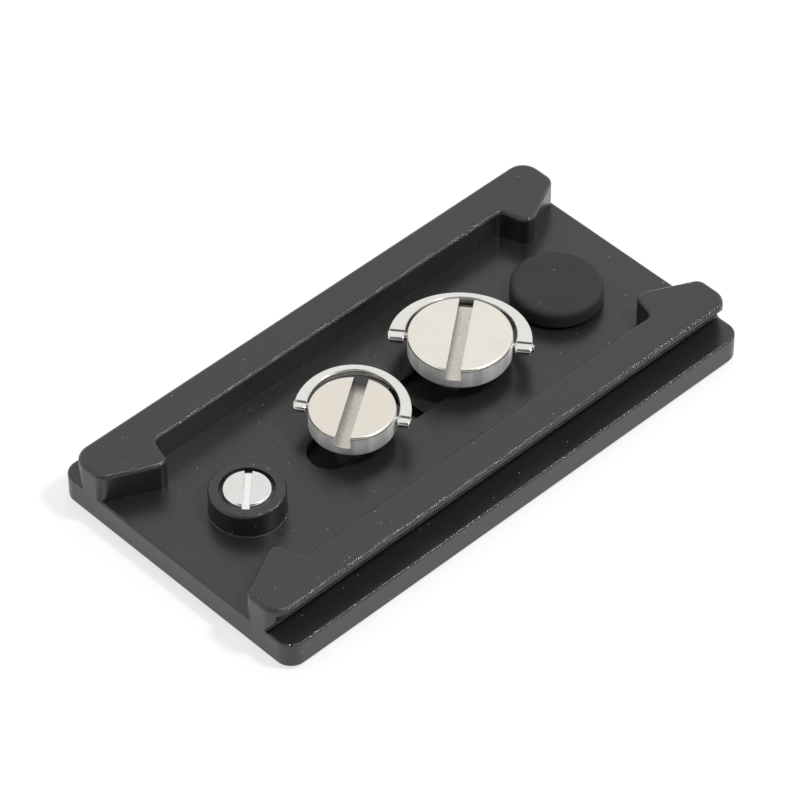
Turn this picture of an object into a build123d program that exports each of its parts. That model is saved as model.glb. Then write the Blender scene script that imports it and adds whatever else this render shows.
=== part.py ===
from build123d import *
import os
from math import cos, isclose, radians, sin, tan

os.makedirs("parts", exist_ok=True)

# Tripod quick release plate, lying on its camera face with the dovetail side up.
# X runs along the plate, Y across it, and Z = 0 is the face of the grip pad.

# Moulded slab
plate_length = 104.0
plate_width = 55.3
slab_thickness = 5.0
plate_corner_radius = 3.0
slab_edge_radius = 0.4

# Grip pad let into the camera face
pad_thickness = 1.6
pad_proud = 0.6
pad_margin = 3.0
pad_corner_radius = 2.0
pad_side_clearance = 0.1
pad_pin_opening = 9.5
pad_screw_clearance = 0.3
pad_rim = 3.0
pad_groove_pitch = 4.0
pad_groove_width = 1.0
pad_groove_depth = 0.4

# Dovetail rails
rail_height = 5.7
dovetail_lip_width = 49.6
dovetail_angle = 55.0
lip_land = 1.0
channel_width = 35.7
rail_end_radius = 3.4
rail_edge_radius = 0.8
rail_foot_radius = 0.3

# Ears that close in the channel at the ends of the rails
ear_mouth_width = 35.0
ear_tip_gap = 24.0
ear_tip_inset = 10.8
ear_root_inset = 12.4
ear_mouth_radius = 2.0
ear_tip_radius = 1.8
ear_root_radius = 1.3

# Screw slot, with a round entry for the wider thread and a track below it for the retaining sliders
slot_width = 8.0
slot_length = 42.0
slot_web = 1.3
entry_clearance = 0.4
track_side_clearance = 0.3
track_end_clearance = 0.1
track_corner_radius = 1.0
slot_edge_radius = 0.3

# Both camera screws
thread_reach = 3.0
tip_chamfer = 0.6
head_chamfer = 0.3
coin_slot_width = 2.5
coin_slot_depth = 2.3
clip_thickness = 0.6
clip_gap_angle = 70.0
slider_length = 22.8
slider_width = 13.0
slider_thickness = 0.5
slider_corner_radius = 1.5
stack_clearance = 0.05
groove_clearance = 0.05
bore_clearance = 0.3

# Quarter inch screw and its ring
small_x = -12.2
small_heading = 34.0
small_thread_diameter = 6.35
small_neck_diameter = 5.6
small_groove_diameter = 4.6
small_clip_diameter = 9.6
small_travel_back = 5.0
small_travel_forward = 0.9
small_head_diameter = 14.6
small_head_height = 3.95
small_pivot_depth = 1.4
small_ring_width = 2.15
small_ring_crown_width = 1.3
small_ring_thickness = 1.7
small_ring_gap = 0.35
small_knuckle_diameter = 2.3
small_ring_tilt = 6.0
small_pins_proud = [0.1, 0.1]

# Three eighths inch screw and its ring
large_x = 12.5
large_heading = 38.0
large_thread_diameter = 9.525
large_neck_diameter = 7.2
large_groove_diameter = 6.0
large_clip_diameter = 11.8
large_travel_back = 0.9
large_travel_forward = 2.1
large_head_diameter = 17.7
large_head_height = 4.05
large_pivot_depth = 1.8
large_ring_width = 2.8
large_ring_crown_width = 1.4
large_ring_thickness = 1.9
large_ring_gap = 0.45
large_knuckle_diameter = 2.6
large_ring_tilt = -5.0
large_pins_proud = [0.05, 0.35]

# Pivot pins of both rings
ring_pin_diameter = 1.2
ring_pin_depth = 2.5
ring_pin_clearance = 0.05
ring_edge_radius = 0.45

# Spring loaded video pin in its boss
boss_inset = 16.4
boss_diameter = 12.9
boss_height = 4.65
boss_edge_radius = 0.5
boss_foot_radius = 0.2
boss_mouth_diameter = 9.4
boss_mouth_depth = 0.9
plug_diameter = 8.25
plug_thickness = 2.2
plug_proud = 0.25
plug_chamfer = 0.55
plug_slot_width = 1.3
plug_slot_depth = 0.9
plug_slot_heading = 44.0
plug_thread_clearance = 0.03
pin_diameter = 4.5
pin_tip_chamfer = 0.5
pin_clearance = 0.1
pin_collar_diameter = 7.4
pin_collar_thickness = 0.8
pin_travel = 3.3
pin_spigot_diameter = 3.4
pin_spigot_height = 1.1
spring_wire = 0.36
spring_coil_diameter = 5.4
spring_turns = 3.0
spring_pitch = 0.4
spring_end_clearance = 0.05

# Rubber bumper
bumper_inset = 16.6
bumper_diameter = 16.1
bumper_height = 4.05
bumper_edge_radius = 1.2
bumper_stem_diameter = 6.0
bumper_barb_diameter = 8.0
bumper_barb_height = 1.2
bumper_stem_clearance = 0.05
bumper_pocket_clearance = 0.3

# Levels and lengths that follow from the sizes above
half_length = plate_length / 2
boss_x = boss_inset - half_length
bumper_x = half_length - bumper_inset
floor_z = pad_proud + slab_thickness
rail_top_z = floor_z + rail_height
slab_middle_z = pad_proud + slab_thickness / 2
web_under_z = floor_z - slot_web
seat_z = floor_z + thread_reach
slider_top_z = web_under_z - stack_clearance
clip_top_z = slider_top_z - slider_thickness - stack_clearance
clip_bottom_z = clip_top_z - clip_thickness
track_width = slider_width + 2 * track_side_clearance
track_left = small_x - small_travel_back - slider_length / 2 - track_end_clearance
track_right = large_x + large_travel_forward + slider_length / 2 + track_end_clearance
slot_spacing = slot_length - slot_width
boss_top_z = floor_z + boss_height
plug_top_z = boss_top_z + plug_proud
plug_bottom_z = plug_top_z - plug_thickness
spring_height = spring_turns * spring_pitch + spring_wire
collar_top_z = plug_bottom_z - spring_height - 2 * spring_end_clearance
collar_bottom_z = collar_top_z - pin_collar_thickness
pin_stop_z = collar_bottom_z - pin_travel


def polar(heading):
    """Unit vector at a heading in the plane of the plate."""
    return Vector(cos(radians(heading)), sin(radians(heading)), 0)


def section_plane(x):
    """Upright plane through a turned piece at x: radius along X, height along Z."""
    return Plane(origin=(x, 0, 0), x_dir=(1, 0, 0), z_dir=(0, -1, 0))


def upright_axis(x):
    """Vertical centre line of a turned piece at x."""
    return Axis((x, 0, 0), (0, 0, 1))


def rail_outline():
    """Corner points and corner radii of the +Y rail and its two ears, seen from above."""
    lip_y = dovetail_lip_width / 2
    wall_y = channel_width / 2
    mouth_y = ear_mouth_width / 2
    tip = (half_length - ear_tip_inset, ear_tip_gap / 2)
    root = (half_length - ear_root_inset, wall_y)
    right = [(half_length, lip_y), (half_length, mouth_y), tip, root]
    left = [(-x, y) for x, y in reversed(right)]
    radii = [rail_end_radius, ear_mouth_radius, ear_tip_radius, ear_root_radius]
    return right + left, radii + radii[::-1]


# One rail with its ears, rounded along its top and undercut on its outer side
with BuildPart() as rail:
    corners, corner_radii = rail_outline()
    with BuildSketch(Plane.XY.offset(slab_middle_z)):
        with BuildLine():
            FilletPolyline(*corners, radius=corner_radii, close=True)
        make_face()
    extrude(amount=rail_top_z - slab_middle_z)
    fillet(rail.faces().sort_by(Axis.Z)[-1].edges(), rail_edge_radius)
    lip_y = dovetail_lip_width / 2
    land_z = rail_top_z - lip_land
    foot_y = lip_y - (land_z - floor_z) / tan(radians(dovetail_angle))
    with BuildSketch(Plane.YZ.offset(-half_length)):
        with BuildLine():
            Polyline((foot_y, floor_z), (lip_y, land_z), (plate_width, land_z), (plate_width, floor_z),
                     close=True)
        make_face()
    extrude(amount=plate_length, mode=Mode.SUBTRACT)

# Moulded plate: slab, both rails, boss, slot, track and pad pocket in one piece
with BuildPart() as plate_body:
    with BuildSketch(Plane.XY.offset(pad_proud)):
        RectangleRounded(plate_length, plate_width, plate_corner_radius)
    extrude(amount=slab_thickness)
    fillet(plate_body.edges().group_by(Axis.Z)[-1], slab_edge_radius)
    fillet(plate_body.edges().group_by(Axis.Z)[0], slab_edge_radius)
    add(rail.part)
    add(mirror(rail.part, about=Plane.XZ, mode=Mode.PRIVATE))
    floor_edges = plate_body.edges().filter_by_position(Axis.Z, floor_z, floor_z)
    rail_feet = [edge for edge in floor_edges if isclose(abs(edge.center().Y), foot_y)]
    fillet(rail_feet, rail_foot_radius)
    with BuildSketch(Plane.XY.offset(slab_middle_z)):
        with Locations((boss_x, 0)):
            Circle(boss_diameter / 2)
    extrude(amount=boss_top_z - slab_middle_z)
    boss_rims = [edge for edge in plate_body.edges().filter_by(GeomType.CIRCLE)
                 if isclose(edge.radius, boss_diameter / 2)]
    fillet([edge for edge in boss_rims if isclose(edge.center().Z, boss_top_z)], boss_edge_radius)
    boss_rims = [edge for edge in plate_body.edges().filter_by(GeomType.CIRCLE)
                 if isclose(edge.radius, boss_diameter / 2)]
    fillet([edge for edge in boss_rims if isclose(edge.center().Z, floor_z)], boss_foot_radius)
    pocket_length = plate_length - 2 * pad_margin
    pocket_width = plate_width - 2 * pad_margin
    with BuildSketch(Plane.XY.offset(pad_proud)):
        RectangleRounded(pocket_length, pocket_width, pad_corner_radius)
    extrude(amount=pad_thickness - pad_proud, mode=Mode.SUBTRACT)
    with BuildSketch(Plane.XY.offset(pad_proud)):
        SlotCenterToCenter(slot_spacing, slot_width)
        with Locations((large_x, 0)):
            Circle((large_thread_diameter + entry_clearance) / 2)
    extrude(amount=slab_thickness, mode=Mode.SUBTRACT)
    slot_edges = plate_body.edges().filter_by_position(Axis.Z, floor_z, floor_z)
    slot_edges = [edge for edge in slot_edges
                  if abs(edge.center().X) < slot_length / 2 and abs(edge.center().Y) < slot_width]
    fillet(slot_edges, slot_edge_radius)
    with BuildSketch(Plane.XY.offset(pad_proud)):
        with Locations(((track_left + track_right) / 2, 0)):
            RectangleRounded(track_right - track_left, track_width, track_corner_radius)
    extrude(amount=web_under_z - pad_proud, mode=Mode.SUBTRACT)
    with BuildSketch(section_plane(boss_x)):
        with BuildLine():
            hole_r = pin_diameter / 2 + pin_clearance
            collar_r = pin_collar_diameter / 2 + pin_clearance
            thread_r = plug_diameter / 2 + plug_thread_clearance
            mouth_r = boss_mouth_diameter / 2
            mouth_z = boss_top_z - boss_mouth_depth
            Polyline((0, pad_proud), (hole_r, pad_proud), (hole_r, pin_stop_z), (collar_r, pin_stop_z),
                     (collar_r, plug_bottom_z), (thread_r, plug_bottom_z), (thread_r, mouth_z),
                     (mouth_r, mouth_z), (mouth_r, boss_top_z), (0, boss_top_z), close=True)
        make_face()
    revolve(axis=upright_axis(boss_x), mode=Mode.SUBTRACT)
    with Locations((bumper_x, 0, floor_z)):
        Hole(bumper_stem_diameter / 2 + bumper_stem_clearance)
    with BuildSketch(Plane.XY.offset(pad_thickness)):
        with Locations((bumper_x, 0)):
            Circle(bumper_barb_diameter / 2 + bumper_pocket_clearance)
    extrude(amount=bumper_barb_height, mode=Mode.SUBTRACT)
plate_body.part.label = "plate_body"
export_step(plate_body.part, "parts/plate_body.step")

# Rubber grip pad in the pocket of the camera face
with BuildPart() as grip_pad:
    pad_length = pocket_length - 2 * pad_side_clearance
    pad_width = pocket_width - 2 * pad_side_clearance
    with BuildSketch():
        RectangleRounded(pad_length, pad_width, pad_corner_radius)
        with Locations((small_x + (small_travel_forward - small_travel_back) / 2, 0)):
            SlotCenterToCenter(small_travel_forward + small_travel_back,
                               small_clip_diameter + 2 * pad_screw_clearance, mode=Mode.SUBTRACT)
        with Locations((large_x + (large_travel_forward - large_travel_back) / 2, 0)):
            SlotCenterToCenter(large_travel_forward + large_travel_back,
                               large_clip_diameter + 2 * pad_screw_clearance, mode=Mode.SUBTRACT)
        with Locations((boss_x, 0)):
            Circle(pad_pin_opening / 2, mode=Mode.SUBTRACT)
    extrude(amount=pad_thickness)
    groove_count = int((pad_length - 2 * pad_rim) / pad_groove_pitch)
    with BuildSketch():
        with GridLocations(pad_groove_pitch, 0, groove_count, 1):
            Rectangle(pad_groove_width, pad_width - 2 * pad_rim)
    extrude(amount=pad_groove_depth, mode=Mode.SUBTRACT)
grip_pad.part.label = "grip_pad"
export_step(grip_pad.part, "parts/grip_pad.step")


def camera_screw(name, x, heading, thread_diameter, neck_diameter, groove_diameter, head_diameter,
                 head_height, pivot_depth):
    """Turned screw with an undercut neck, a clip groove, a coin slot and two holes for the ring's pins."""
    thread_r, neck_r = thread_diameter / 2, neck_diameter / 2
    groove_r, head_r = groove_diameter / 2, head_diameter / 2
    groove_bottom, groove_top = clip_bottom_z - groove_clearance, clip_top_z + groove_clearance
    head_top = seat_z + head_height
    with BuildPart() as screw:
        with BuildSketch(section_plane(x)):
            with BuildLine():
                Polyline((0, 0), (thread_r - tip_chamfer, 0), (thread_r, tip_chamfer),
                         (thread_r, groove_bottom), (groove_r, groove_bottom), (groove_r, groove_top),
                         (neck_r, groove_top), (neck_r, seat_z), (head_r - head_chamfer, seat_z),
                         (head_r, seat_z + head_chamfer),
                         (head_r, head_top - head_chamfer), (head_r - head_chamfer, head_top), (0, head_top),
                         close=True)
            make_face()
        revolve(axis=upright_axis(x))
        with BuildSketch(Plane(origin=(x, 0, head_top), x_dir=polar(heading), z_dir=(0, 0, 1))):
            Rectangle(head_diameter, coin_slot_width)
        extrude(amount=-coin_slot_depth, mode=Mode.SUBTRACT)
        for side in (1, -1):
            pivot = Plane(origin=(x, 0, head_top - pivot_depth), z_dir=polar(heading + side * 90))
            with BuildSketch(pivot.offset(head_r)):
                Circle(ring_pin_diameter / 2)
            extrude(amount=-ring_pin_depth, mode=Mode.SUBTRACT)
    screw.part.label = name
    export_step(screw.part, f"parts/{name}.step")


def ring_plane(x, pivot_z, heading, tilt):
    """Plane of a folded ring: the pivot along its Y, the arc towards its X, tipped up by tilt."""
    flat = polar(heading)
    rise = radians(tilt)
    along = flat * cos(rise) + Vector(0, 0, sin(rise))
    normal = flat * -sin(rise) + Vector(0, 0, cos(rise))
    return Plane(origin=(x, 0, pivot_z), x_dir=along, z_dir=normal)


def finger_ring(name, x, heading, pivot_z, inner_radius, width, crown_width, thickness, knuckle_diameter,
                tilt):
    """Flat half ring, narrower at its crown, whose two ends are round knuckles on the pivot line."""
    outer_radius = inner_radius + width
    leg = width - crown_width
    flat = ring_plane(x, pivot_z, heading, tilt)
    with BuildPart() as ring:
        with BuildSketch(flat.offset(-thickness / 2)):
            Circle(outer_radius)
            SlotCenterToCenter(2 * leg, 2 * inner_radius, mode=Mode.SUBTRACT)
            with Locations((-outer_radius, 0)):
                Rectangle(2 * outer_radius, 2 * outer_radius, mode=Mode.SUBTRACT)
        extrude(amount=thickness)
        fillet(ring.edges().filter_by(GeomType.CIRCLE), ring_edge_radius)
        for side in (1, -1):
            end = Plane(origin=flat.origin, z_dir=polar(heading + side * 90)).offset(inner_radius)
            with BuildSketch(end):
                Circle(knuckle_diameter / 2)
            extrude(amount=width)
            with BuildSketch(end):
                Circle(ring_pin_diameter / 2 + ring_pin_clearance)
            extrude(amount=width, mode=Mode.SUBTRACT)
    ring.part.label = name
    export_step(ring.part, f"parts/{name}.step")


def ring_pins(names, x, heading, pivot_z, head_diameter, outer_radius, prouds):
    """Left and right pin pressed into the head, on which the ring turns."""
    inner_end = head_diameter / 2 - ring_pin_depth
    for name, side, proud in zip(names, (1, -1), prouds):
        with BuildPart() as pin:
            pivot = Plane(origin=(x, 0, pivot_z), z_dir=polar(heading + side * 90))
            with BuildSketch(pivot.offset(inner_end)):
                Circle(ring_pin_diameter / 2)
            extrude(amount=outer_radius + proud - inner_end)
        pin.part.label = name
        export_step(pin.part, f"parts/{name}.step")


def retaining_slider(name, x, bore_diameter):
    """Flat strip that slides in the track under the slot's web, closes the slot and carries its screw."""
    with BuildPart() as slider:
        with BuildSketch(Plane.XY.offset(slider_top_z)):
            with Locations((x, 0)):
                RectangleRounded(slider_length, slider_width, slider_corner_radius)
                Circle(bore_diameter / 2, mode=Mode.SUBTRACT)
        extrude(amount=-slider_thickness)
    slider.part.label = name
    export_step(slider.part, f"parts/{name}.step")


def retaining_clip(name, x, heading, groove_diameter, diameter):
    """Open spring clip that snaps into the screw's groove from the side."""
    with BuildPart() as clip:
        with BuildSketch(Plane(origin=(x, 0, clip_top_z), x_dir=polar(heading), z_dir=(0, 0, 1))):
            Circle(diameter / 2)
            Circle(groove_diameter / 2 + groove_clearance, mode=Mode.SUBTRACT)
            half_gap = radians(clip_gap_angle / 2)
            mouth = (diameter * cos(half_gap), diameter * sin(half_gap))
            with BuildLine():
                Polyline((0, 0), mouth, (mouth[0], -mouth[1]), close=True)
            make_face(mode=Mode.SUBTRACT)
        extrude(amount=-clip_thickness)
    clip.part.label = name
    export_step(clip.part, f"parts/{name}.step")


# Quarter inch screw set
small_pivot_z = seat_z + small_head_height - small_pivot_depth
small_ring_inner = small_head_diameter / 2 + small_ring_gap
camera_screw("quarter_inch_screw", small_x, small_heading, small_thread_diameter, small_neck_diameter,
             small_groove_diameter, small_head_diameter, small_head_height, small_pivot_depth)
finger_ring("quarter_inch_ring", small_x, small_heading, small_pivot_z, small_ring_inner, small_ring_width,
            small_ring_crown_width, small_ring_thickness, small_knuckle_diameter, small_ring_tilt)
ring_pins(["quarter_inch_left_pin", "quarter_inch_right_pin"], small_x, small_heading, small_pivot_z,
          small_head_diameter, small_ring_inner + small_ring_width, small_pins_proud)
retaining_slider("quarter_inch_slider", small_x, small_thread_diameter + bore_clearance)
retaining_clip("quarter_inch_clip", small_x, small_heading, small_groove_diameter, small_clip_diameter)

# Three eighths inch screw set
large_pivot_z = seat_z + large_head_height - large_pivot_depth
large_ring_inner = large_head_diameter / 2 + large_ring_gap
camera_screw("three_eighths_screw", large_x, large_heading, large_thread_diameter, large_neck_diameter,
             large_groove_diameter, large_head_diameter, large_head_height, large_pivot_depth)
finger_ring("three_eighths_ring", large_x, large_heading, large_pivot_z, large_ring_inner, large_ring_width,
            large_ring_crown_width, large_ring_thickness, large_knuckle_diameter, large_ring_tilt)
ring_pins(["three_eighths_left_pin", "three_eighths_right_pin"], large_x, large_heading, large_pivot_z,
          large_head_diameter, large_ring_inner + large_ring_width, large_pins_proud)
retaining_slider("three_eighths_slider", large_x, large_thread_diameter + bore_clearance)
retaining_clip("three_eighths_clip", large_x, large_heading, large_groove_diameter, large_clip_diameter)

# Video pin, pushed back level with the pad, with the collar that its spring bears on
with BuildPart() as video_pin:
    with BuildSketch(section_plane(boss_x)):
        with BuildLine():
            pin_r = pin_diameter / 2
            Polyline((0, 0), (pin_r - pin_tip_chamfer, 0), (pin_r, pin_tip_chamfer), (pin_r, collar_bottom_z),
                     (pin_collar_diameter / 2, collar_bottom_z), (pin_collar_diameter / 2, collar_top_z),
                     (pin_spigot_diameter / 2, collar_top_z),
                     (pin_spigot_diameter / 2, collar_top_z + pin_spigot_height),
                     (0, collar_top_z + pin_spigot_height), close=True)
        make_face()
    revolve(axis=upright_axis(boss_x))
video_pin.part.label = "video_pin"
export_step(video_pin.part, "parts/video_pin.step")

# Pressed down coil spring between the collar and the plug
with BuildPart() as video_pin_spring:
    coil_radius = spring_coil_diameter / 2
    coil_start = (boss_x, 0, collar_top_z + spring_end_clearance + spring_wire / 2)
    with BuildLine():
        Helix(pitch=spring_pitch, height=spring_turns * spring_pitch, radius=coil_radius, center=coil_start)
    with BuildSketch(Plane(origin=(boss_x + coil_radius, 0, coil_start[2]), z_dir=(0, 1, 0))):
        Circle(spring_wire / 2)
    sweep()
video_pin_spring.part.label = "video_pin_spring"
export_step(video_pin_spring.part, "parts/video_pin_spring.step")

# Slotted plug that closes the boss and holds the spring
with BuildPart() as video_pin_plug:
    with BuildSketch(Plane.XY.offset(plug_bottom_z)):
        with Locations((boss_x, 0)):
            Circle(plug_diameter / 2)
    extrude(amount=plug_thickness)
    chamfer(video_pin_plug.edges().group_by(Axis.Z)[-1], plug_chamfer)
    with BuildSketch(Plane(origin=(boss_x, 0, plug_top_z), x_dir=polar(plug_slot_heading), z_dir=(0, 0, 1))):
        Rectangle(plug_diameter, plug_slot_width)
    extrude(amount=-plug_slot_depth, mode=Mode.SUBTRACT)
video_pin_plug.part.label = "video_pin_plug"
export_step(video_pin_plug.part, "parts/video_pin_plug.step")

# Rubber bumper: a flat button on a stem, held by a barb under the slab
with BuildPart() as rubber_bumper:
    with BuildSketch(section_plane(bumper_x)):
        with BuildLine():
            button_r = bumper_diameter / 2
            stem_r = bumper_stem_diameter / 2
            barb_r = bumper_barb_diameter / 2
            barb_top_z = pad_thickness + bumper_barb_height
            button_top_z = floor_z + bumper_height
            Polyline((0, pad_thickness), (stem_r, pad_thickness), (barb_r, barb_top_z), (stem_r, barb_top_z),
                     (stem_r, floor_z), (button_r, floor_z), (button_r, button_top_z), (0, button_top_z),
                     close=True)
        make_face()
    revolve(axis=upright_axis(bumper_x))
    fillet(rubber_bumper.edges().group_by(Axis.Z)[-1], bumper_edge_radius)
rubber_bumper.part.label = "rubber_bumper"
export_step(rubber_bumper.part, "parts/rubber_bumper.step")
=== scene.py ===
# %% [markdown]
# # A tripod quick release plate
# The plate bolts under a camera and slides into the clamp of a video head. It lies here with its camera
# face down, so the dovetail rails, the two camera screws with their folding rings, the boss of the video
# pin and the rubber bumper all show. The solids come from the CAD model. This lesson dresses them: it
# rebuilds the pieces that the eye goes to, with the small roundings and tool marks of the real ones.

import math

import bmesh
import bpy
from mathutils import Matrix, Vector


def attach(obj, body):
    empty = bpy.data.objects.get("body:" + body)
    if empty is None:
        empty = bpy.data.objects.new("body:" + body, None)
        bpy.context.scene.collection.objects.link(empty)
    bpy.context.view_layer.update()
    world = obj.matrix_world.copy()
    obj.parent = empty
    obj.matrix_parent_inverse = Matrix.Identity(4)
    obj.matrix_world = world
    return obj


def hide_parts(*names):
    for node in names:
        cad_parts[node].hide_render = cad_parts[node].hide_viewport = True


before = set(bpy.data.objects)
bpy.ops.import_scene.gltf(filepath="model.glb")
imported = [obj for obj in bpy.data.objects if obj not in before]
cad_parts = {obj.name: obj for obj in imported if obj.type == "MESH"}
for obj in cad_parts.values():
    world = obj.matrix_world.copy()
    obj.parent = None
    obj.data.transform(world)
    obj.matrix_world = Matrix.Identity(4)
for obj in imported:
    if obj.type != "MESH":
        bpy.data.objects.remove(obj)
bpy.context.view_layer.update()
MM = 0.001

# %% [markdown]
# ## Two helpers for materials
# Colours are given as sRGB hex values, but shaders work with linear light, so one function turns the one
# into the other. A node tree is easier to read when a node, its settings and its links stand in one call, and
# that is all the second function does.

# %% Colour and node helpers


def linear(hex_colour):
    """sRGB hex colour to linear red, green, blue and alpha."""
    parts = [int(hex_colour[i:i + 2], 16) / 255 for i in (1, 3, 5)]
    return [c / 12.92 if c <= 0.04045 else ((c + 0.055) / 1.055) ** 2.4 for c in parts] + [1.0]


def add_node(tree, kind, inputs=None, **settings):
    """Adds a node; an input is either a plain value or a socket to link from."""
    node = tree.nodes.new(kind)
    for name, value in settings.items():
        setattr(node, name, value)
    for name, value in (inputs or {}).items():
        if isinstance(value, bpy.types.NodeSocket):
            tree.links.new(value, node.inputs[name])
        else:
            node.inputs[name].default_value = value
    return node


def new_material(name, **shader_values):
    """A material with its node tree and Principled shader, whose plain values are set by name."""
    material = bpy.data.materials.new(name)
    material.use_nodes = True
    tree = material.node_tree
    shader = tree.nodes["Principled BSDF"]
    for socket, value in shader_values.items():
        shader.inputs[socket.replace("_", " ")].default_value = value
    return material, tree, shader


print("linear mid grey", [round(c, 3) for c in linear("#808080")])

# %% [markdown]
# ## Moulded glass filled nylon
# The plate is one injection moulding in black nylon. The steel mould was spark eroded, which leaves a fine
# even grain, so the plastic is satin and its rounded edges glint in tiny points. The ejector pins that
# push the plate out of the mould leave shallow round marks on the flat faces. Both are drawn in Object
# coordinates: the grain as noise, and each mark as a sunken disc about its pin's centre. The grain is deepest
# on the rounded edges, where the mould was finished by hand. To find them, every mesh below carries an
# attribute named slope, the upward part of each face's normal. Values between flat and upright pick out the
# roundings, which handling has also rubbed glossier.

# %% Black nylon material
GRAIN_MM = 0.28          # the real grain is about 0.05 mm; drawn coarser so that it shows in the render
BLOTCH_MM = 9.0          # slow change of gloss, from handling and from the flow of the plastic
EJECTOR_MARKS_MM = [     # centre x, centre y, radius of the disc that an ejector pin leaves
    (-44.1, 19.4, 3.7), (-44.1, -19.4, 3.7), (44.1, 19.4, 3.7), (44.1, -19.4, 3.7),
    (-47.7, 0.1, 2.5), (47.7, 0.1, 2.5),
]
EJECTOR_STEP_MM = 0.25   # width of the soft step round a mark
EJECTOR_DEPTH_MM = 0.05
GRAIN_DEPTH_MM = 0.14    # on the roundings
FLAT_GRAIN = 0.07        # share of that depth on flat and upright faces
ROUNDING_SLOPE, SLOPE_REACH = 0.54, 0.42
RUBBED_GLOSS = -0.13     # change of roughness on the roundings

black_nylon, tree, shader = new_material("black_nylon_spark_eroded", IOR=1.58)
place = add_node(tree, "ShaderNodeTexCoord").outputs["Object"]
grain = add_node(tree, "ShaderNodeTexNoise", {"Vector": place, "Scale": 1 / (GRAIN_MM * MM), "Detail": 2.0,
                                              "Roughness": 0.6})
blotch = add_node(tree, "ShaderNodeTexNoise", {"Vector": place, "Scale": 1 / (BLOTCH_MM * MM),
                                               "Detail": 3.0})
satin = add_node(tree, "ShaderNodeMapRange", {"Value": blotch.outputs["Fac"], "From Min": 0.3,
                                              "From Max": 0.7, "To Min": 0.25, "To Max": 0.33})
slope = add_node(tree, "ShaderNodeAttribute", attribute_name="slope").outputs["Fac"]
rounding_mask_or_slot_shade = add_node(tree, "ShaderNodeMath", {0: slope, 1: ROUNDING_SLOPE, 2: SLOPE_REACH},
                  operation="COMPARE").outputs["Value"]
gloss = add_node(tree, "ShaderNodeMath", {0: rounding_mask_or_slot_shade, 1: RUBBED_GLOSS, 2: satin.outputs["Result"]},
                 operation="MULTIPLY_ADD")
rough = add_node(tree, "ShaderNodeMapRange", {"Value": rounding_mask_or_slot_shade, "To Min": FLAT_GRAIN, "To Max": 1.0})
tone = add_node(tree, "ShaderNodeMix", {"Factor": grain.outputs["Fac"], "A": linear("#171718"),
                                        "B": linear("#222224")}, data_type="RGBA")
marks = None
for x_mm, y_mm, radius_mm in EJECTOR_MARKS_MM:
    centred = add_node(tree, "ShaderNodeMapping", {"Vector": place, "Location": (-x_mm * MM, -y_mm * MM, 0),
                                                   "Scale": (1, 1, 0)})
    reach = add_node(tree, "ShaderNodeVectorMath", {0: centred.outputs["Vector"]}, operation="LENGTH")
    disc = add_node(tree, "ShaderNodeMapRange", {"Value": reach.outputs["Value"], "From Min": radius_mm * MM,
                                                 "From Max": (radius_mm + EJECTOR_STEP_MM) * MM,
                                                 "To Min": 1.0, "To Max": 0.0},
                    interpolation_type="SMOOTHSTEP")
    if marks is None:
        marks = disc.outputs["Result"]
    else:
        marks = add_node(tree, "ShaderNodeMath", {0: marks, 1: disc.outputs["Result"]},
                         operation="ADD").outputs["Value"]
mark_step = add_node(tree, "ShaderNodeBump", {"Height": marks, "Distance": EJECTOR_DEPTH_MM * MM,
                                              "Strength": 0.45}, invert=True)
grain_bump = add_node(tree, "ShaderNodeBump", {"Height": grain.outputs["Fac"],
                                               "Distance": GRAIN_DEPTH_MM * MM,
                                               "Strength": rough.outputs["Result"],
                                               "Normal": mark_step.outputs["Normal"]})
tree.links.new(tone.outputs["Result"], shader.inputs["Base Color"])
tree.links.new(gloss.outputs["Value"], shader.inputs["Roughness"])
tree.links.new(grain_bump.outputs["Normal"], shader.inputs["Normal"])
print("nylon nodes", len(tree.nodes))

# %% [markdown]
# ## Turned and nickel plated steel
# The screws are turned on a lathe and plated with satin nickel, which is a warm pale grey. The lathe tool
# leaves fine rings round the screw's axis, and handling leaves short scratches. The rings need a pattern
# that is centred on each screw, so a Mapping node moves the Object coordinates to the screw's axis. A wave
# in rings marks the flat faces and a wave in upright bands marks the walls, where the slope is near zero.
# The walls are left rougher, because only the top of a head is faced with a fine cut. Their colour is painted
# lighter than the top's, in upright streaks: painted sheen and painted reflections of a round wall. The rims
# are the glossiest. The coin slot is cut with a milling cutter, so its faces carry a second attribute named
# milled, which makes them coarser; the slot's walls are also painted darker, as painted shade in the recess.

# %% Satin nickel material
FEED_MM = 0.22           # the real feed is about 0.1 mm; drawn coarser so that it shows
# The upright streaks on the walls are painted reflections.
SHEEN_STREAK_MM = 2.0          # width of the upright streaks on the walls
CUTTER_MM = 0.35         # the cutter's marks in the slots; drawn coarser than the real 0.1 mm
CUTTER_DEPTH_MM = 0.03
SMEAR_MM = 3.5           # patches where fingers have dulled the plating
WALL_FEED = 6            # the wall's grooves are this many times as deep as the top's
RIM_SLOPE, RIM_REACH = 0.55, 0.4
RIM_GLOSS, WALL_GLOSS = -0.14, 0.4   # changes of roughness on the rims and on the walls
WAVE_SCALE = 2 * math.pi / (20 * FEED_MM * MM)   # a Wave texture of scale 1 repeats after 2 pi / 20


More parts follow.
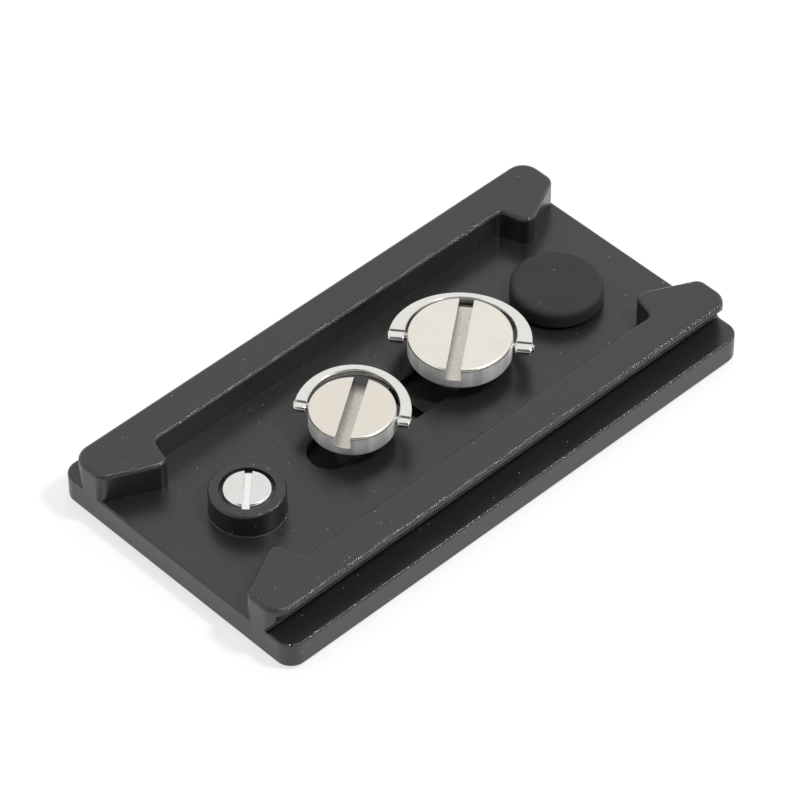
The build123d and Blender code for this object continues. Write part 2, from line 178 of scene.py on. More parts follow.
def turned_metal(name, axis_x_mm, colour, worn_colour, slot_pale, slot_shade_colour, low_gloss, high_gloss, groove):
    """Metal with lathe rings about the upright axis at x, lighter walls with painted streaks of reflection,
    and a slot whose walls take a painted shade.
    """
    material, tree, shader = new_material(name, Metallic=1.0)
    place = add_node(tree, "ShaderNodeTexCoord").outputs["Object"]
    centred = add_node(tree, "ShaderNodeMapping", {"Vector": place, "Location": (-axis_x_mm * MM, 0, 0)})
    lathe = add_node(tree, "ShaderNodeTexWave", {"Vector": centred.outputs["Vector"], "Scale": WAVE_SCALE,
                                                 "Distortion": 1.2, "Detail": 2.0, "Detail Scale": 1.5},
                     wave_type="RINGS", rings_direction="Z")
    smear = add_node(tree, "ShaderNodeTexNoise", {"Vector": place, "Scale": 1 / (SMEAR_MM * MM),
                                                  "Detail": 6.0, "Roughness": 0.65})
    tint = add_node(tree, "ShaderNodeMix", {"Factor": smear.outputs["Fac"], "A": linear(worn_colour),
                                            "B": linear(colour)}, data_type="RGBA")
    # Painted sheen: the walls get a lighter colour than the top, streaked upright, in place of the
    # reflections on a round wall.
    upright = add_node(tree, "ShaderNodeMapping", {"Vector": place, "Scale": (1, 1, 0.05)})
    streak = add_node(tree, "ShaderNodeTexNoise", {"Vector": upright.outputs["Vector"],
                                                   "Scale": 1 / (SHEEN_STREAK_MM * MM), "Detail": 3.0})
    sheen_streaks = add_node(tree, "ShaderNodeMapRange", {"Value": streak.outputs["Fac"], "From Min": 0.35,
                                                     "From Max": 0.65})
    painted_wall_sheen = add_node(tree, "ShaderNodeMix", {"Factor": sheen_streaks.outputs["Result"], "A": linear("#e0e0de"),
                                            "B": linear("#fcfcfa")}, data_type="RGBA")
    milled = add_node(tree, "ShaderNodeAttribute", attribute_name="milled").outputs["Fac"]
    cutter = add_node(tree, "ShaderNodeTexNoise", {"Vector": place, "Scale": 1 / (CUTTER_MM * MM),
                                                   "Detail": 3.0, "Roughness": 0.7})
    faced = add_node(tree, "ShaderNodeMapRange", {"Value": smear.outputs["Fac"], "From Min": 0.3,
                                                  "From Max": 0.7, "To Min": high_gloss, "To Max": low_gloss})
    slope = add_node(tree, "ShaderNodeAttribute", attribute_name="slope").outputs["Fac"]
    steep = add_node(tree, "ShaderNodeMath", {0: slope, 1: 0.0, 2: 0.1},
                     operation="COMPARE").outputs["Value"]
    wall = add_node(tree, "ShaderNodeMath", {0: steep, 1: milled}, operation="SUBTRACT",
                    use_clamp=True).outputs["Value"]
    # Painted shade: the slot's walls take mostly the darker colour and its floor about half of it, so the
    # recess reads darker.
    slot_lit_share = add_node(tree, "ShaderNodeMath", {0: steep, 1: -0.8, 2: 1.0}, operation="MULTIPLY_ADD")
    slot_share = add_node(tree, "ShaderNodeMath", {0: cutter.outputs["Fac"], 1: slot_lit_share.outputs["Value"]},
                          operation="MULTIPLY")
    rounding_mask_or_slot_shade = add_node(tree, "ShaderNodeMix", {"Factor": slot_share.outputs["Value"], "A": linear(slot_shade_colour),
                                              "B": linear(slot_pale)}, data_type="RGBA")
    rim = add_node(tree, "ShaderNodeMath", {0: slope, 1: RIM_SLOPE, 2: RIM_REACH},
                   operation="COMPARE").outputs["Value"]
    wall_tint = add_node(tree, "ShaderNodeMix", {"Factor": wall, "A": tint.outputs["Result"],
                                                 "B": painted_wall_sheen.outputs["Result"]}, data_type="RGBA")
    slot_tint = add_node(tree, "ShaderNodeMix", {"Factor": milled, "A": wall_tint.outputs["Result"],
                                                 "B": rounding_mask_or_slot_shade.outputs["Result"]}, data_type="RGBA")
    edged = add_node(tree, "ShaderNodeMath", {0: rim, 1: RIM_GLOSS, 2: faced.outputs["Result"]},
                     operation="MULTIPLY_ADD")
    gloss = add_node(tree, "ShaderNodeMath", {0: wall, 1: WALL_GLOSS, 2: edged.outputs["Value"]},
                     operation="MULTIPLY_ADD")
    cutter_depth = add_node(tree, "ShaderNodeMath", {0: milled, 1: 0.6}, operation="MULTIPLY")
    feed = add_node(tree, "ShaderNodeTexWave", {"Vector": centred.outputs["Vector"], "Scale": WAVE_SCALE,
                                                "Distortion": 0.6, "Detail": 2.0},
                    wave_type="BANDS", bands_direction="Z")
    feed_depth = add_node(tree, "ShaderNodeMath", {0: wall, 1: 0.9}, operation="MULTIPLY")
    rings_bump = add_node(tree, "ShaderNodeBump", {"Height": lathe.outputs["Fac"], "Distance": groove * MM,
                                                   "Strength": 0.5})
    feed_bump = add_node(tree, "ShaderNodeBump", {"Height": feed.outputs["Fac"],
                                                  "Distance": WALL_FEED * groove * MM,
                                                  "Strength": feed_depth.outputs["Value"],
                                                  "Normal": rings_bump.outputs["Normal"]})
    bump = add_node(tree, "ShaderNodeBump", {"Height": cutter.outputs["Fac"],
                                             "Distance": CUTTER_DEPTH_MM * MM,
                                             "Strength": cutter_depth.outputs["Value"],
                                             "Normal": feed_bump.outputs["Normal"]})
    tree.links.new(slot_tint.outputs["Result"], shader.inputs["Base Color"])
    tree.links.new(gloss.outputs["Value"], shader.inputs["Roughness"])
    tree.links.new(bump.outputs["Normal"], shader.inputs["Normal"])
    print(name, "rings", FEED_MM, "mm apart")
    return material


SMALL_X, LARGE_X, BOSS_X, BUMPER_X = -12.2, 12.5, -35.6, 35.4
# The last colour of each call is the painted shade of that piece's slot.
small_nickel = turned_metal("satin_nickel_turned_small", SMALL_X, "#e7e1d7", "#dad3c8", "#e8e3da", "#9a958d",
                            0.34, 0.26, 0.004)
large_nickel = turned_metal("satin_nickel_turned_large", LARGE_X, "#ece7de", "#dfdad0", "#ebe6dd", "#9e9991",
                            0.34, 0.26, 0.004)
plug_nickel = turned_metal("bright_nickel_turned_plug", BOSS_X, "#e4e4e2", "#d8d8d5", "#fafaf8", "#e8e8e6",
                           0.26, 0.16, 0.003)
pin_steel = turned_metal("turned_steel_video_pin", BOSS_X, "#c9c9c8", "#b4b4b2", "#c9c9c8", "#b4b4b2",
                         0.36, 0.28, 0.004)

# %% [markdown]
# ## Chrome, plain steel and lacquered steel
# The folding rings are chrome plated and almost mirror bright; only a faint waviness from polishing stops
# them from looking like glass. The pins, clips and the coil spring are plain steels that differ in colour and
# gloss, so one function makes them with a noise that is stretched a little in one direction. The strips that
# slide under the screw slot are steel too, but their black lacquer is what shows, so they are not metallic.

# %% Plated and plain steel materials


def plated_metal(name, colour, dull_colour, low_gloss, high_gloss, mark_mm, depth_mm, metallic=1.0):
    """Metal, or lacquer on metal, whose gloss and tone drift over marks of a given size."""
    material, tree, shader = new_material(name, Metallic=metallic)
    place = add_node(tree, "ShaderNodeTexCoord").outputs["Object"]
    drawn = add_node(tree, "ShaderNodeMapping", {"Vector": place, "Scale": (1.0, 1.6, 1.0)})
    marks = add_node(tree, "ShaderNodeTexNoise", {"Vector": drawn.outputs["Vector"],
                                                  "Scale": 1 / (mark_mm * MM), "Detail": 4.0})
    tint = add_node(tree, "ShaderNodeMix", {"Factor": marks.outputs["Fac"], "A": linear(dull_colour),
                                            "B": linear(colour)}, data_type="RGBA")
    gloss = add_node(tree, "ShaderNodeMapRange", {"Value": marks.outputs["Fac"], "From Min": 0.3,
                                                  "From Max": 0.7, "To Min": high_gloss, "To Max": low_gloss})
    bump = add_node(tree, "ShaderNodeBump", {"Height": marks.outputs["Fac"], "Distance": depth_mm * MM,
                                             "Strength": 0.4})
    tree.links.new(tint.outputs["Result"], shader.inputs["Base Color"])
    tree.links.new(gloss.outputs["Result"], shader.inputs["Roughness"])
    tree.links.new(bump.outputs["Normal"], shader.inputs["Normal"])
    print(name, "marks", mark_mm, "mm")
    return material


ring_chrome = plated_metal("polished_chrome_ring", "#e8e7e3", "#dddcd7", 0.07, 0.13, 1.2, 0.004)
pin_ground = plated_metal("ground_steel_pin", "#d4d4d3", "#bebebd", 0.22, 0.32, 0.5, 0.003)
black_strip = plated_metal("black_lacquered_steel_strip", "#2a2a2c", "#202021", 0.12, 0.24, 0.8, 0.004,
                           metallic=0.0)
spring_steel = plated_metal("oiled_spring_steel", "#8a8c90", "#6c6e72", 0.25, 0.40, 0.6, 0.004)

# %% [markdown]
# ## Rubber
# The bumper and the grip pad are moulded rubber. Rubber scatters light right at its surface, so it is much
# duller than the nylon beside it, and a slight bloom makes it look bluish grey. A fine speckle and a high
# roughness give that, with a low specular level so that it never shines.

# %% Rubber material
BLOOM_MM = 6.0           # size of the soft patches of bloom
SPECK_DEPTH_MM = 0.03


def moulded_rubber(name, colour, bloom_colour, speck_mm):
    """Dull rubber with a bloom in soft patches and a fine speckle."""
    material, tree, shader = new_material(name, IOR=1.5, Specular_IOR_Level=0.35)
    place = add_node(tree, "ShaderNodeTexCoord").outputs["Object"]
    speck = add_node(tree, "ShaderNodeTexNoise", {"Vector": place, "Scale": 1 / (speck_mm * MM),
                                                  "Detail": 2.0})
    bloom = add_node(tree, "ShaderNodeTexNoise", {"Vector": place, "Scale": 1 / (BLOOM_MM * MM),
                                                  "Detail": 4.0})
    tint = add_node(tree, "ShaderNodeMix", {"Factor": bloom.outputs["Fac"], "A": linear(colour),
                                            "B": linear(bloom_colour)}, data_type="RGBA")
    dull = add_node(tree, "ShaderNodeMapRange", {"Value": speck.outputs["Fac"], "To Min": 0.62,
                                                 "To Max": 0.85})
    bump = add_node(tree, "ShaderNodeBump", {"Height": speck.outputs["Fac"], "Distance": SPECK_DEPTH_MM * MM,
                                             "Strength": 0.5})
    tree.links.new(tint.outputs["Result"], shader.inputs["Base Color"])
    tree.links.new(dull.outputs["Result"], shader.inputs["Roughness"])
    tree.links.new(bump.outputs["Normal"], shader.inputs["Normal"])
    print(name, "speck", speck_mm, "mm")
    return material


bumper_rubber = moulded_rubber("moulded_rubber_bumper", "#222326", "#2c2d30", 0.3)
pad_rubber = moulded_rubber("moulded_rubber_grip_pad", "#232324", "#2e2e30", 0.35)

# %% [markdown]
# ## A little dust
# The plate has been lying about, so single pale specks of dust show on the black nylon and on the bumper.
# Painting them by hand would need an image. A Voronoi texture does it without one: its points are scattered
# through space, and only the few that happen to lie close under the surface show there as specks.

# %% Dust on the black pieces
DUST_MM = 0.13           # radius of the largest specks
DUST_SPACING_MM = 2.5    # spacing of the scattered points


def dust_over(material):
    """Lays specks of dust over the colour of a finished material."""
    tree = material.node_tree
    base = tree.nodes["Principled BSDF"].inputs["Base Color"]
    place = add_node(tree, "ShaderNodeTexCoord").outputs["Object"]
    points = add_node(tree, "ShaderNodeTexVoronoi", {"Vector": place,
                                                     "Scale": 1 / (DUST_SPACING_MM * MM)})
    speck = add_node(tree, "ShaderNodeMapRange", {"Value": points.outputs["Distance"], "From Min": 0.0,
                                                  "From Max": DUST_MM / DUST_SPACING_MM,
                                                  "To Min": 1.0, "To Max": 0.0})
    dusty = add_node(tree, "ShaderNodeMix", {"Factor": speck.outputs["Result"],
                                             "A": base.links[0].from_socket,
                                             "B": linear("#b9b8b4")}, data_type="RGBA")
    tree.links.new(dusty.outputs["Result"], base)
    print(material.name, "dust", DUST_MM, "mm")


dust_over(black_nylon)
dust_over(bumper_rubber)

# %% [markdown]
# ## Putting a mesh in the scene
# Every new piece ends the same way: doubles merged, normals turned outwards, the slope of each face noted for
# the materials, smooth shading with sharp edges kept, and a Weighted Normal modifier so that large flat faces
# stay flat next to their roundings. It then rides on its CAD body and hides the solid that it stands for.

# %% Piece helper
MERGE_MM = 0.001         # points closer than this are one
SHARP_DEGREES = 32       # edges that turn more than this stay sharp


def put_piece(name, bm, material, body, stands_for):
    """Makes an object of a bmesh, which rides on a body in place of a CAD node."""
    bmesh.ops.remove_doubles(bm, verts=bm.verts[:], dist=MERGE_MM * MM)
    bmesh.ops.recalc_face_normals(bm, faces=bm.faces[:])
    slope = bm.faces.layers.float.new("slope")
    for face in bm.faces:
        face[slope] = face.normal.z
    mesh = bpy.data.meshes.new(name)
    bm.to_mesh(mesh)
    bm.free()
    mesh.shade_smooth()
    mesh.set_sharp_from_angle(angle=math.radians(SHARP_DEGREES))
    mesh.materials.append(material)
    piece = bpy.data.objects.new(name, mesh)
    bpy.context.scene.collection.objects.link(piece)
    normals = piece.modifiers.new("flat_faces", "WEIGHTED_NORMAL")
    normals.keep_sharp = True
    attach(piece, body)
    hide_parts(stands_for)
    print(name, "faces", len(mesh.polygons))
    return piece


def edges_where(bm, test):
    """Edges whose two ends both pass a test of their place in millimetres."""
    return [edge for edge in bm.edges if all(test(v.co / MM) for v in edge.verts)]


def near(value, target):
    """True where two millimetre values agree."""
    return abs(value - target) < 0.02


# %% [markdown]
# ## The moulded plate
# The solid already has the rails, the ears, the boss and the slot. What it lacks is the small cove that a
# mould has along the inner foot of each rail and its ears, which shows as a thin pale line in the corner. A
# copy of the solid is merged, its flat triangles are joined to whole faces, and the bevel operator turns the
# inner corner edges into coves.

# %% Plate with coved rail feet
FLOOR_Z = 5.6
COVE_MM = 0.35
FOOT_FROM_Y, FOOT_TO_Y, FOOT_TO_X = 11, 24.2, 51.2   # where the feet of rails and ears lie
FLAT_DEGREES = 0.4       # faces that turn less than this are joined

plate = bmesh.new()
plate.from_mesh(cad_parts["plate_body"].data)
bmesh.ops.remove_doubles(plate, verts=plate.verts[:], dist=MERGE_MM * MM)
bmesh.ops.dissolve_limit(plate, angle_limit=math.radians(FLAT_DEGREES), verts=plate.verts[:],
                         edges=plate.edges[:])


def at_foot(p):
    """True for a place on the floor where the foot of a rail or an ear may lie."""
    return near(p.z, FLOOR_Z) and FOOT_FROM_Y < abs(p.y) < FOOT_TO_Y and abs(p.x) < FOOT_TO_X


feet = [edge for edge in edges_where(plate, at_foot)
        if len(edge.link_faces) == 2 and min(abs(face.normal.z) for face in edge.link_faces) < 0.1]
bmesh.ops.bevel(plate, geom=feet, offset=COVE_MM * MM, offset_type="OFFSET", affect="EDGES", segments=3,
                profile=0.5, material=-1, clamp_overlap=True)
put_piece("moulded_plate", plate, black_nylon, "plate", "plate_body")
print("coved edges", len(feet))

# %% [markdown]
# ## The camera screws
# Each screw is one turned piece: a flat head with a coin slot, a neck, a groove for the clip and a thread.
# A slot could be cut with a boolean, but it is tidier to build the head upwards: a disc is cut by two
# planes into two lands and a strip, the lands are extruded up and the strip stays behind as the floor of
# the slot. The rims are then bevelled, as the lathe leaves them; the cutter leaves the slot's edges sharp.

# %% Screw heads
SEAT_Z = 8.6
SLOT_WIDTH, SLOT_DEPTH = 2.5, 2.3
SMALL_HEADING, LARGE_HEADING = 34.0, 38.0   # degrees, of each slot and of its ring


def slotted_disc(x, radius, bottom_z, top_z, slot_width, slot_depth, heading, rim, bottom_rim):
    """A disc with a straight slot across its top, with rounded rims."""
    bm = bmesh.new()
    centre = Vector((x, 0, top_z - slot_depth))
    across = Vector((-math.sin(math.radians(heading)), math.cos(math.radians(heading)), 0))
    bmesh.ops.create_circle(bm, cap_ends=True, segments=160, radius=radius * MM,
                            matrix=Matrix.Translation(centre * MM))
    for side in (1, -1):
        bmesh.ops.bisect_plane(bm, geom=bm.verts[:] + bm.edges[:] + bm.faces[:],
                               plane_co=(centre + across * side * slot_width / 2) * MM, plane_no=across)
    lands = [face for face in bm.faces
             if abs((face.calc_center_median() / MM - centre).dot(across)) > slot_width / 2]
    raised = bmesh.ops.extrude_face_region(bm, geom=lands, use_keep_orig=False)["geom"]
    bmesh.ops.translate(bm, verts=[v for v in raised if isinstance(v, bmesh.types.BMVert)],
                        vec=(0, 0, slot_depth * MM))
    hidden = [face for face in bm.faces if all(near(v.co.z / MM, centre.z) for v in face.verts)
              and abs((face.calc_center_median() / MM - centre).dot(across)) > slot_width / 2]
    bmesh.ops.delete(bm, geom=hidden, context="FACES_ONLY")
    rim_edges = [edge for edge in bm.edges if edge.is_boundary]
    walls = bmesh.ops.extrude_edge_only(bm, edges=rim_edges)["geom"]
    bmesh.ops.translate(bm, verts=[v for v in walls if isinstance(v, bmesh.types.BMVert)],
                        vec=(0, 0, (bottom_z - centre.z) * MM))
    bmesh.ops.holes_fill(bm, edges=[edge for edge in bm.edges if edge.is_boundary], sides=0)

    def outside(p):
        return (Vector((p.x, p.y, 0)) - Vector((x, 0, 0))).length > radius - 0.02

    top_rim = [edge for edge in edges_where(bm, lambda p: near(p.z, top_z) and outside(p))
               if edge.calc_length() < MM]
    bmesh.ops.bevel(bm, geom=top_rim, offset=rim * MM, offset_type="OFFSET", affect="EDGES", segments=3,
                    profile=0.5, material=-1)
    under_rim = edges_where(bm, lambda p: near(p.z, bottom_z) and outside(p))
    bmesh.ops.bevel(bm, geom=under_rim, offset=bottom_rim * MM, offset_type="OFFSET", affect="EDGES",
                    segments=2, profile=0.5, material=-1)
    milled = bm.faces.layers.float.new("milled")
    for face in bm.faces:
        middle = face.calc_center_median() / MM - centre
        face[milled] = float(middle.z > -0.01 and abs(middle.dot(across)) < slot_width / 2 + 0.01)
    return bm


small_head = slotted_disc(SMALL_X, radius=7.3, bottom_z=SEAT_Z, top_z=12.55, slot_width=SLOT_WIDTH,
                          slot_depth=SLOT_DEPTH, heading=SMALL_HEADING, rim=0.45, bottom_rim=0.25)
put_piece("quarter_inch_head", small_head, small_nickel, "quarter_inch_screw",
          "quarter_inch_screw")
large_head = slotted_disc(LARGE_X, radius=8.85, bottom_z=SEAT_Z, top_z=12.65, slot_width=SLOT_WIDTH,
                          slot_depth=SLOT_DEPTH, heading=LARGE_HEADING, rim=0.5, bottom_rim=0.25)
put_piece("three_eighths_head", large_head, large_nickel, "three_eighths_screw",
          "three_eighths_screw")

# %% [markdown]
# ## Necks and threads
# Below the head the screw is a spun outline. The thread itself is a triangular ridge: one triangle is spun
# about the screw's axis while it climbs by the pitch on every turn. A quarter inch camera thread has
# 20 turns to the inch and a three eighths thread has 16.

# %% Screw shanks
CLIP_TOP_Z, CLIP_BOTTOM_Z = 3.75, 3.05
INCH = 25.4
THREAD_DEPTH = 0.54      # of the pitch
TIP_CHAMFER = 0.2
NECK_TOP_Z = SEAT_Z + 0.3    # the neck ends a little inside the head
RIDGE_BASE_Z = 0.05
RIDGE_SINK = 0.1         # how far the ridge's foot lies inside the core
SPIN_STEPS = 96


def spun(bm, outline, x, steps):
    """Spins an outline of radius and height pairs, in millimetres, about the upright axis at x."""
    verts = [bm.verts.new(((x + r) * MM, 0, z * MM)) for r, z in outline]
    edges = [bm.edges.new(pair) for pair in zip(verts, verts[1:])]
    bmesh.ops.spin(bm, geom=verts + edges, cent=(x * MM, 0, 0), axis=(0, 0, 1), angle=2 * math.pi,
                   steps=steps, use_merge=True)


def threaded_shank(x, neck_r, groove_r, thread_r, turns_per_inch):
    """Neck, clip groove, thread core and the thread's ridge."""
    bm = bmesh.new()
    pitch = INCH / turns_per_inch
    core_r = thread_r - THREAD_DEPTH * pitch
    spun(bm, [(0, 0), (core_r - TIP_CHAMFER, 0), (core_r, TIP_CHAMFER), (core_r, CLIP_BOTTOM_Z),
              (groove_r, CLIP_BOTTOM_Z), (groove_r, CLIP_TOP_Z), (neck_r, CLIP_TOP_Z), (neck_r, NECK_TOP_Z),
              (0, NECK_TOP_Z)], x, SPIN_STEPS)
    turns = (CLIP_BOTTOM_Z - 0.1 - 0.9 * pitch) / pitch
    steps = int(SPIN_STEPS * turns)
    foot_r = core_r - RIDGE_SINK
    corners = [(foot_r, RIDGE_BASE_Z), (thread_r, RIDGE_BASE_Z + 0.44 * pitch),
               (thread_r, RIDGE_BASE_Z + 0.5 * pitch), (foot_r, RIDGE_BASE_Z + 0.94 * pitch)]
    ridge = bm.faces.new([bm.verts.new(((x + r) * MM, 0, z * MM)) for r, z in corners])
    bmesh.ops.spin(bm, geom=[ridge], cent=(x * MM, 0, 0), axis=(0, 0, 1),
                   dvec=(0, 0, pitch * MM * turns / steps), angle=2 * math.pi * turns, steps=steps)
    return bm


small_shank = threaded_shank(SMALL_X, neck_r=2.8, groove_r=2.3, thread_r=3.175, turns_per_inch=20)
put_piece("quarter_inch_shank", small_shank, small_nickel, "quarter_inch_screw",
          "quarter_inch_screw")
large_shank = threaded_shank(LARGE_X, neck_r=3.6, groove_r=3.0, thread_r=4.7625, turns_per_inch=16)
put_piece("three_eighths_shank", large_shank, large_nickel, "three_eighths_screw",
          "three_eighths_screw")

# %% [markdown]
# ## The folding rings
# A ring is stamped from flat steel, bent to a half circle, and chromed. Its band is narrower at the crown,
# where the inner edge is set out on two short legs so that the ring clears the head. Each end is a round
# knuckle that turns on a pin in the head. The band is drawn as a strip of faces between its two edges,
# extruded and bevelled, and each knuckle is a short barrel with rounded ends, laid along the pivot. The
# press sets the knuckle down a little, so the band's top ends in a small step, and the barrel's crown lies
# below it.

# %% Finger rings
RING_STEPS = 96
BAND_ROUNDING, KNUCKLE_ROUNDING = 0.3, 0.4
STEP_X, STEP_DRAFT = 0.35, 0.03      # where the band's top is set down, and the lean of that step
STEP_DOWN = 0.5          # how far the band is set down
STEP_SHOWN = 0.25        # how far the knuckle's crown lies below the band's top
SAME_HEIGHT_MM = 0.01    # ends of an edge that differ by less lie level


def is_level(edge):
    """True for an edge whose two ends are at one height."""
    return abs(edge.verts[0].co.z - edge.verts[1].co.z) < SAME_HEIGHT_MM * MM


def finger_ring(x, pivot_z, heading, tilt, inner_r, width, crown, thickness, knuckle_r):
    """A half ring with its knuckles, made at the origin along +X and then turned and moved to its screw."""
    bm = bmesh.new()
    outer_r, leg = inner_r + width, width - crown
    path = 2 * leg + math.pi * inner_r
    pairs = []
    for step in range(RING_STEPS + 1):
        angle = math.pi * (step / RING_STEPS - 0.5)
        run = path * step / RING_STEPS
        turn = min(max((run - leg) / inner_r, 0), math.pi) - math.pi / 2
        inner_x = min(run, path - run, leg) + inner_r * math.cos(turn)
        pairs.append([bm.verts.new((r_x * MM, r_y * MM, -thickness / 2 * MM)) for r_x, r_y in (
            (outer_r * math.cos(angle), outer_r * math.sin(angle)), (inner_x, inner_r * math.sin(turn)))])
    for (outer_a, inner_a), (outer_b, inner_b) in zip(pairs, pairs[1:]):
        bm.faces.new((outer_a, outer_b, inner_b, inner_a))
    top = bmesh.ops.extrude_face_region(bm, geom=bm.faces[:])["geom"]
    bmesh.ops.translate(bm, verts=[v for v in top if isinstance(v, bmesh.types.BMVert)],
                        vec=(0, 0, thickness * MM))
    bmesh.ops.recalc_face_normals(bm, faces=bm.faces[:])
    rims = [edge for edge in bm.edges if edge.calc_face_angle(0) > 1 and is_level(edge)]
    bmesh.ops.bevel(bm, geom=rims, offset=BAND_ROUNDING * MM, offset_type="OFFSET", affect="EDGES",
                    segments=4, profile=0.5, material=-1)
    for cut_x in (STEP_X, STEP_X + STEP_DRAFT):
        bmesh.ops.bisect_plane(bm, geom=bm.verts[:] + bm.edges[:] + bm.faces[:], plane_co=(cut_x * MM, 0, 0),
                               plane_no=(1, 0, 0))
    for vert in bm.verts:
        if vert.co.z > 0 and vert.co.x < (STEP_X + STEP_DRAFT / 2) * MM:
            vert.co.z -= STEP_DOWN * MM
    bmesh.ops.rotate(bm, verts=bm.verts[:], cent=(0, 0, 0),
                     matrix=Matrix.Rotation(-math.radians(tilt), 3, "Y"))
    for side in (1, -1):
        barrel = bmesh.ops.create_cone(bm, cap_ends=True, segments=48, radius1=knuckle_r * MM,
                                       radius2=knuckle_r * MM, depth=width * MM)["verts"]
        rims = [edge for edge in {e for v in barrel for e in v.link_edges} if is_level(edge)]
        along_pivot = Matrix.Translation((0, side * (inner_r + width / 2) * MM, 0))
        bmesh.ops.transform(bm, verts=barrel, matrix=along_pivot @ Matrix.Rotation(math.radians(90), 4, "X"))
        rounded = bmesh.ops.bevel(bm, geom=rims, offset=KNUCKLE_ROUNDING * MM, offset_type="OFFSET",
                                  affect="EDGES", segments=4, profile=0.5, material=-1)["verts"]
        for vert in {v for v in barrel + rounded if v.is_valid}:
            if vert.co.z > 0:
                vert.co.z *= (thickness / 2 - STEP_SHOWN) / knuckle_r
    bmesh.ops.transform(bm, verts=bm.verts[:], matrix=Matrix.Translation(Vector((x, 0, pivot_z)) * MM)
                        @ Matrix.Rotation(math.radians(heading), 4, "Z"))
    return bm


small_ring = finger_ring(SMALL_X, pivot_z=11.15, heading=SMALL_HEADING, tilt=6.0, inner_r=7.65, width=2.15,
                         crown=1.3, thickness=1.7, knuckle_r=1.15)
put_piece("quarter_inch_finger_ring", small_ring, ring_chrome, "quarter_inch_ring",
          "quarter_inch_ring")
large_ring = finger_ring(LARGE_X, pivot_z=10.85, heading=LARGE_HEADING, tilt=-5.0, inner_r=9.3, width=2.8,
                         crown=1.4, thickness=1.9, knuckle_r=1.3)
put_piece("three_eighths_finger_ring", large_ring, ring_chrome, "three_eighths_ring",
          "three_eighths_ring")

# %% [markdown]
# ## The plug of the video pin
# The bright disc in the boss is a small screwed plug with a screwdriver slot. It stands a little proud of the
# boss. It is made as the screw heads are, with a wide bevel on its rim.

# %% Pin plug
plug = slotted_disc(BOSS_X, radius=4.125, bottom_z=8.3, top_z=10.5, slot_width=1.3, slot_depth=0.9,
                    heading=44.0, rim=0.55, bottom_rim=0.05)
put_piece("pin_plug", plug, plug_nickel, "plate", "video_pin_plug")

# %% [markdown]
# ## The rubber bumper
# The bumper is a round button with a soft rim and a slightly sunken top, as rubber shrinks in its mould. Its
# side is drawn in at the foot, which leaves a dark line on the plate. Its stem goes through the slab and ends
# in a barb. The whole outline is spun, and the rim is bevelled.

# %% Rubber bumper
BARB_R, STEM_R, FOOT_R, BUTTON_R = 4.0, 3.0, 7.0, 8.05
BARB_BOTTOM_Z, BARB_TOP_Z, SIDE_Z, BUTTON_TOP_Z = 1.6, 2.8, 6.45, 9.65
SUNK_R, SUNK_Z, SUNK_MIDDLE_Z = 5.5, 9.6, 9.53
SOFT_RIM = 1.3
BUMPER_STEPS = 128

bumper = bmesh.new()
spun(bumper, [(0, BARB_BOTTOM_Z), (STEM_R, BARB_BOTTOM_Z), (BARB_R, BARB_TOP_Z), (STEM_R, BARB_TOP_Z),
              (STEM_R, FLOOR_Z), (FOOT_R, FLOOR_Z), (BUTTON_R, SIDE_Z), (BUTTON_R, BUTTON_TOP_Z),
              (SUNK_R, SUNK_Z), (0, SUNK_MIDDLE_Z)], BUMPER_X, BUMPER_STEPS)
bmesh.ops.remove_doubles(bumper, verts=bumper.verts[:], dist=MERGE_MM * MM)
soft_rim = edges_where(bumper, lambda p: near(p.z, BUTTON_TOP_Z))
bmesh.ops.bevel(bumper, geom=soft_rim, offset=SOFT_RIM * MM, offset_type="OFFSET", affect="EDGES",
                segments=8, profile=0.5, material=-1)
put_piece("rubber_button", bumper, bumper_rubber, "plate", "rubber_bumper")

# %% [markdown]
# ## Pieces that keep their solids
# The ribbed pad, the pins, sliders, clips, the video pin and its spring already have their real shapes, so
# their solids stay and only get their materials. The solids that are hidden behind a new piece get the same
# material as that piece.

# %% Materials for the other solids
finishes = {
    "grip_pad": pad_rubber, "video_pin": pin_steel, "video_pin_spring": spring_steel,
    "quarter_inch_left_pin": pin_ground, "quarter_inch_right_pin": pin_ground,
    "three_eighths_left_pin": pin_ground, "three_eighths_right_pin": pin_ground,
    "quarter_inch_slider": black_strip, "three_eighths_slider": black_strip,
    "quarter_inch_clip": spring_steel, "three_eighths_clip": spring_steel,
    "plate_body": black_nylon, "quarter_inch_screw": small_nickel, "three_eighths_screw": large_nickel,
    "quarter_inch_ring": ring_chrome, "three_eighths_ring": ring_chrome, "video_pin_plug": plug_nickel,
    "rubber_bumper": bumper_rubber,
}
for node, finish in finishes.items():
    for material_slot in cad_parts[node].material_slots:
        material_slot.material = finish
print("solids with finishes", len(finishes))

# %% [markdown]
# ## Floor and light
# The plate lies on white paper that runs on to a white background. The paper is plain diffuse white, lifted
# for the camera and for mirror rays, so that it reads as white and still keeps the soft shadow under the
# plate. The light is a white tent all round, with a dark opening where the camera looks in, which the barrels
# of the rings and the edges that face the camera mirror. One small lamp stands high up and to one side. It
# makes the rounded edges glint, and no flat face mirrors it into the camera.

# %% Floor, world and lamp
PAPER_SIZE = 3.0         # metres from the middle of the paper to its sides
PAPER_DROP_MM = 0.02     # keeps the paper clear of the pad's face
PAPER_LIFT = 0.7         # share of plain white that the camera sees
CAMERA_SIDE = (-0.487, -0.513, 0.706)    # direction of the tent's opening
LAMP_PLACE = (0.178, -0.353, 0.684)
LAMP_SIZE, LAMP_ENERGY = 0.1, 3.8

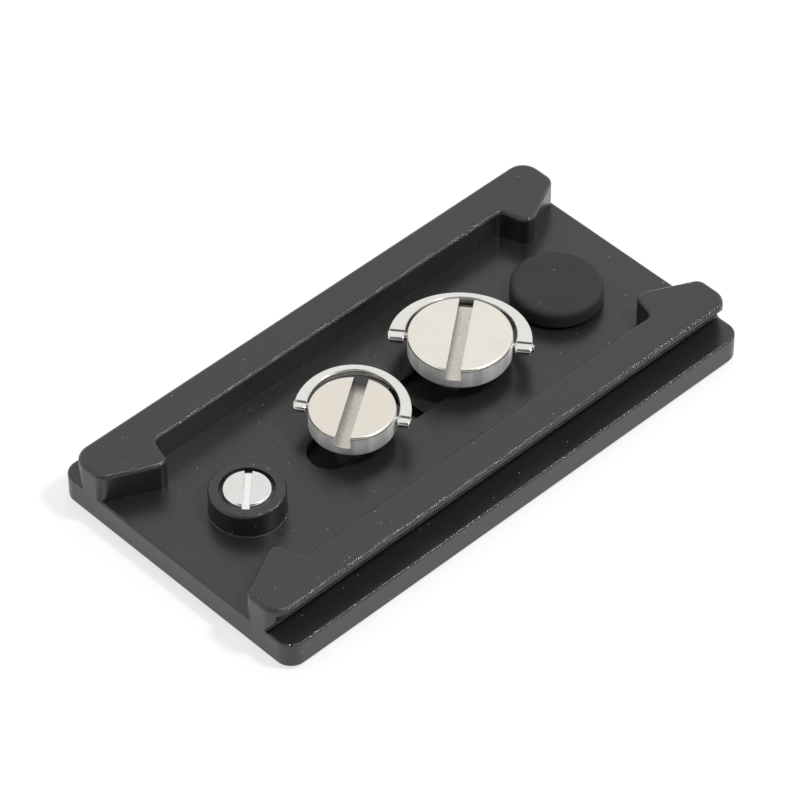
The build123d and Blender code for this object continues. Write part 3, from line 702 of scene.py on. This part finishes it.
scene = bpy.context.scene
paper, tree, shader = new_material("matt_white_paper", Roughness=0.9)
shader.inputs["Base Color"].default_value = linear("#f2f2f2")
rays = add_node(tree, "ShaderNodeLightPath").outputs
mirrored = add_node(tree, "ShaderNodeMath", {0: rays["Is Glossy Ray"], 1: rays["Is Transmission Ray"]},
                    operation="MAXIMUM")
seen = add_node(tree, "ShaderNodeMath", {0: rays["Is Camera Ray"], 1: mirrored.outputs["Value"]},
                operation="MAXIMUM")
share = add_node(tree, "ShaderNodeMath", {0: seen.outputs["Value"], 1: PAPER_LIFT}, operation="MULTIPLY")
lift = add_node(tree, "ShaderNodeEmission", {"Color": linear("#ffffff")})
glow = add_node(tree, "ShaderNodeMixShader", {0: share.outputs["Value"], 1: shader.outputs["BSDF"],
                                              2: lift.outputs["Emission"]})
tree.links.new(glow.outputs["Shader"], tree.nodes["Material Output"].inputs["Surface"])

paper_sheet = bmesh.new()
bmesh.ops.create_grid(paper_sheet, x_segments=1, y_segments=1, size=PAPER_SIZE)
paper_mesh = bpy.data.meshes.new("white_paper")
paper_sheet.to_mesh(paper_mesh)
paper_sheet.free()
paper_mesh.materials.append(paper)
floor = bpy.data.objects.new("white_paper", paper_mesh)
floor.location.z = -PAPER_DROP_MM * MM
scene.collection.objects.link(floor)

world = bpy.data.worlds.new("light_tent")
scene.world = world
world.use_nodes = True
sky = world.node_tree
towards = add_node(sky, "ShaderNodeTexCoord").outputs["Generated"]
opening = add_node(sky, "ShaderNodeVectorMath", {0: towards, 1: CAMERA_SIDE}, operation="DOT_PRODUCT")
dome = add_node(sky, "ShaderNodeMapRange", {"Value": opening.outputs["Value"], "From Min": 0.72,
                                            "From Max": 0.93, "To Min": 1.0, "To Max": 0.15},
                interpolation_type="SMOOTHSTEP")
sky.nodes["Background"].inputs["Color"].default_value = linear("#ffffff")
sky.links.new(dome.outputs["Result"], sky.nodes["Background"].inputs["Strength"])

lamp = bpy.data.lights.new("small_lamp", "AREA")
lamp.shape = "DISK"
lamp.size = LAMP_SIZE
lamp.energy = LAMP_ENERGY
small_lamp = bpy.data.objects.new("small_lamp", lamp)
small_lamp.location = LAMP_PLACE
small_lamp.rotation_euler = (Vector((0, 0, 0)) - small_lamp.location).to_track_quat("-Z", "Y").to_euler()
scene.collection.objects.link(small_lamp)
scene.view_settings.view_transform = "Standard"
print("lamp energy", lamp.energy)

# %% [markdown]
# ## The camera
# The photograph was taken from one end of the plate, a little over 43 degrees round and 45 degrees up, with a
# long lens, so parallel edges stay nearly parallel. The values come from fitting a camera to the edges of the
# slab and the rails.

# %% Camera
AZIMUTH, ELEVATION, ROLL = (math.radians(angle) for angle in (-43.545, 44.917, -0.347))
FOCAL_PIXELS, FRAME_PIXELS = 4535.72, 800
DISTANCE, SIDE, RISE, BASE = 756.889, -1.047, 3.625, 0.6

back = Vector((math.sin(AZIMUTH) * math.cos(ELEVATION), -math.cos(AZIMUTH) * math.cos(ELEVATION),
               math.sin(ELEVATION)))
right = Vector((math.cos(AZIMUTH), math.sin(AZIMUTH), 0))
up = back.cross(right)
rolled_right = right * math.cos(ROLL) + up * math.sin(ROLL)
rolled_up = up * math.cos(ROLL) - right * math.sin(ROLL)
lens = bpy.data.cameras.new("photo_camera")
lens.sensor_width = 36.0
lens.lens = FOCAL_PIXELS * lens.sensor_width / FRAME_PIXELS
lens.clip_start, lens.clip_end = 0.01, 20.0
camera = bpy.data.objects.new("photo_camera", lens)
turn = Matrix((rolled_right, rolled_up, back)).transposed().to_4x4()
stand = (back * DISTANCE + rolled_right * SIDE + rolled_up * RISE + Vector((0, 0, BASE))) * MM
camera.matrix_world = Matrix.Translation(stand) @ turn
scene.collection.objects.link(camera)
scene.camera = camera
print("lens", round(lens.lens, 1), "mm at", [round(c, 3) for c in stand])
